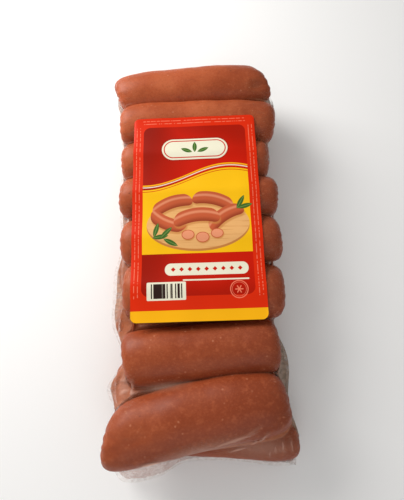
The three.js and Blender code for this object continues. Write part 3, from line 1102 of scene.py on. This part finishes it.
# %% Rows of fine marks round the frame
MARK_ROWS = (40.1, 42.6)
MARK_TOP_ROWS = (71.0, 73.2)
MARK_STEP = 0.75
MARK_HEIGHT = 0.55


def print_marks(paint):
    """Rows of short dashes of uneven length, down both sides and along the top."""
    for rows, beside, along, ends in (
        (MARK_ROWS, abs(paint.x), paint.y, (-60, 68)),
        (MARK_TOP_ROWS, paint.y, paint.x, (-38, 38)),
    ):
        for row in rows:
            cell = along / MARK_STEP + row
            dash = paint.chance(cell.maths("FLOOR", cell), paint.step(paint.x, -1, 1, row, row + 9))
            within = (ends[0] - along).high(along - ends[1])
            marks = (abs(beside - row) - MARK_HEIGHT / 2).high(within)
            paint.lay(marks, FINE_MARK, paint.step(dash, 0.15, 0.4, 0, 0.8))

# %% A sign with three leaves above the wave
SIGN = dict(x=0, y=49, half_width=24, half_height=8.5, corner=8.4)
SIGN_RIM = 1.3
SPRIG = [(-6, 47.8, 158), (6, 47.8, 22), (0, 50.4, 90)]


def print_sign(paint):
    sign = paint.box(**SIGN)
    paint.lay(sign - 0.8, DEEP_RED, 0.5, 0.8)
    paint.lay(sign, CREAM)
    paint.lay(abs(sign + SIGN_RIM + 0.4) - 0.4, RED)
    for x, y, angle in SPRIG:
        paint.leaf(x, y, 4.4, 1.6, angle)

# %% A board with links, slices and leaves
BOARD = dict(x=1, y=-9, half_width=35.5, half_height=18)
# Each printed link: x, y, half length, half width, turn in degrees and bow
PRINTED_LINKS = [
    (-17, 6, 10, 4.6, 18, 1.5),
    (12, 8, 10, 4.6, -14, 1.5),
    (-20, -7, 8.5, 4.8, -24, -1.2),
    (20, -4, 9, 4.8, 32, 1.4),
    (0, -4, 11, 5.2, 6, 1.8),
]
PRINTED_SLICES = [(-6, -17, 4.4), (4, -19, 4.6), (14, -16.5, 4.3)]
PRINTED_LEAVES = [(-25, -18, 8), (-18, -22, -28), (-28, -13, 75), (-21, -15, 45), (31, 6, 60), (34, 3, 15)]


def print_board(paint):
    rim = paint.ring(BOARD["x"], BOARD["y"] - 1.6, BOARD["half_width"], BOARD["half_height"])
    inside = paint.box(**PANEL)
    paint.lay(rim.high(inside), WOOD_EDGE)
    top = paint.ring(BOARD["x"], BOARD["y"], BOARD["half_width"], BOARD["half_height"])
    paint.lay(top.high(inside), WOOD)
    drawn_out = paint.node("ShaderNodeCombineXYZ", {}, [paint.x * 0.05, paint.y])
    values = {"Vector": drawn_out, "Scale": 0.7, "Detail": 3}
    grain = paint.node("ShaderNodeTexNoise", {"noise_dimensions": "2D"}, values)
    paint.lay(top.high(inside), WOOD_EDGE, paint.step(grain, 0.52, 0.7, 0, 0.4))
    for x, y, half_length, radius, angle, bow in PRINTED_LINKS:
        shadow, _ = paint.bar(x + 0.6, y - 1.6, half_length, radius, angle, bow)
        paint.lay(shadow, WOOD_EDGE, 0.7, 0.8)
        link, height = paint.bar(x, y, half_length, radius, angle, bow)
        paint.lay(link, SAUSAGE)
        paint.lay(link, SAUSAGE_DARK, paint.step(height, -0.1, -1.0, 0, 0.7))
        paint.lay(link, SAUSAGE_LIGHT, paint.step(abs(height - 0.4), 0.35, 0.0, 0, 0.8))
    for x, y, radius in PRINTED_SLICES:
        paint.lay(paint.ring(x + 0.4, y - 0.8, radius, radius * 0.8), WOOD_EDGE, 0.8, 0.5)
        paint.lay(paint.ring(x, y, radius, radius * 0.8), SAUSAGE)
        paint.lay(paint.ring(x, y, radius - 0.5, radius * 0.8 - 0.5), SAUSAGE_LIGHT)
    for x, y, angle in PRINTED_LEAVES:
        paint.leaf(x, y, 5.6, 1.7, angle)

# %% Plain stripes, beads, a seal and a panel of bars below the board
RIBBON = dict(x=6, y=-41, half_width=28, half_height=4.2, corner=4)
BEADS = dict(y=-41, step=5.6, count=9)
UNDERLINE = dict(x=12, y=-48.5, half_width=22, half_height=0.5, corner=0.4)
SEAL = (27, -55.5, 6)
BAR_PANEL = dict(x=-21, y=-55.5, half_width=13, half_height=6, corner=0.8)
BARS = dict(x=-21, y=-55.5, half_width=11.6, half_height=4.8, corner=0.2)
BAR_STEP = 0.8


def print_foot(paint):
    paint.lay(paint.box(**RIBBON), CREAM)
    for k in range(BEADS["count"]):
        x = RIBBON["x"] + (k - (BEADS["count"] - 1) / 2) * BEADS["step"]
        paint.lay(abs(paint.x - x) + abs(paint.y - BEADS["y"]) - 1.6, RED)
    paint.lay(paint.box(**UNDERLINE), CREAM)
    seal = paint.ring(SEAL[0], SEAL[1], SEAL[2], SEAL[2])
    paint.lay(abs(seal + 0.3) - 0.3, FINE_MARK)
    paint.lay(abs(seal + 1.4) - 0.12, FINE_MARK)
    for angle in (0, 60, 120):
        spoke, _ = paint.bar(SEAL[0], SEAL[1], 2.4, 0.35, angle)
        paint.lay(spoke, FINE_MARK)
    paint.lay(paint.box(**BAR_PANEL), CREAM)
    cell = paint.x / BAR_STEP
    bar = paint.chance(cell.maths("FLOOR", cell), 3.0)
    paint.lay(paint.box(**BARS), colour(48, 30, 26), paint.step(bar, 0.48, 0.5))

# %% The whole print
def label_paint():
    paint = Print("label_print", 0, LABEL_Y, FRAME_RED)
    print_ground(paint)
    print_marks(paint)
    print_sign(paint)
    print_board(paint)
    print_foot(paint)
    paint.wear("Base Color", paint.ink)
    sheen = paint.clouds(paint.places(), 30, 2)
    paint.wear("Roughness", paint.step(sheen, 0.3, 0.7, 0.34, 0.46))
    paint.wear("Specular IOR Level", 0.1)
    creases = paint.clouds(paint.places(), 9, 3, 0.5, stretch=(0.4, 1, 1))
    paint.wear("Normal", paint.bump(creases, 0.12, 0.3))
    return paint.material


printed = label_paint()
print("nodes in the print", len(printed.node_tree.nodes))

# %% [markdown]
# ## One pack
# Every piece gets its finish and rides on the pack's one body. The film stands in for the sealed solid and
# the sheet for the solid label, because the links need something clear in front of them to be seen at all.

# %% Finishes onto pieces, and pieces onto the pack
def finished(piece, paint, slot, *nodes):
    piece.data.materials.clear()
    piece.data.materials.append(paint)
    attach(piece, "root")
    if nodes:
        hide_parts(*nodes)


for piece in links:
    finished(piece, casing, "sausage_skin")
for piece in necks:
    finished(piece, twisted, "sausage_skin")
finished(film, clear_film, "clear_film", "sealed_pack")
finished(sealed_edge, edge_film, "clear_film")
finished(label, printed, "label_print", "label")
print("finished pieces", len(links) + len(necks) + 3)
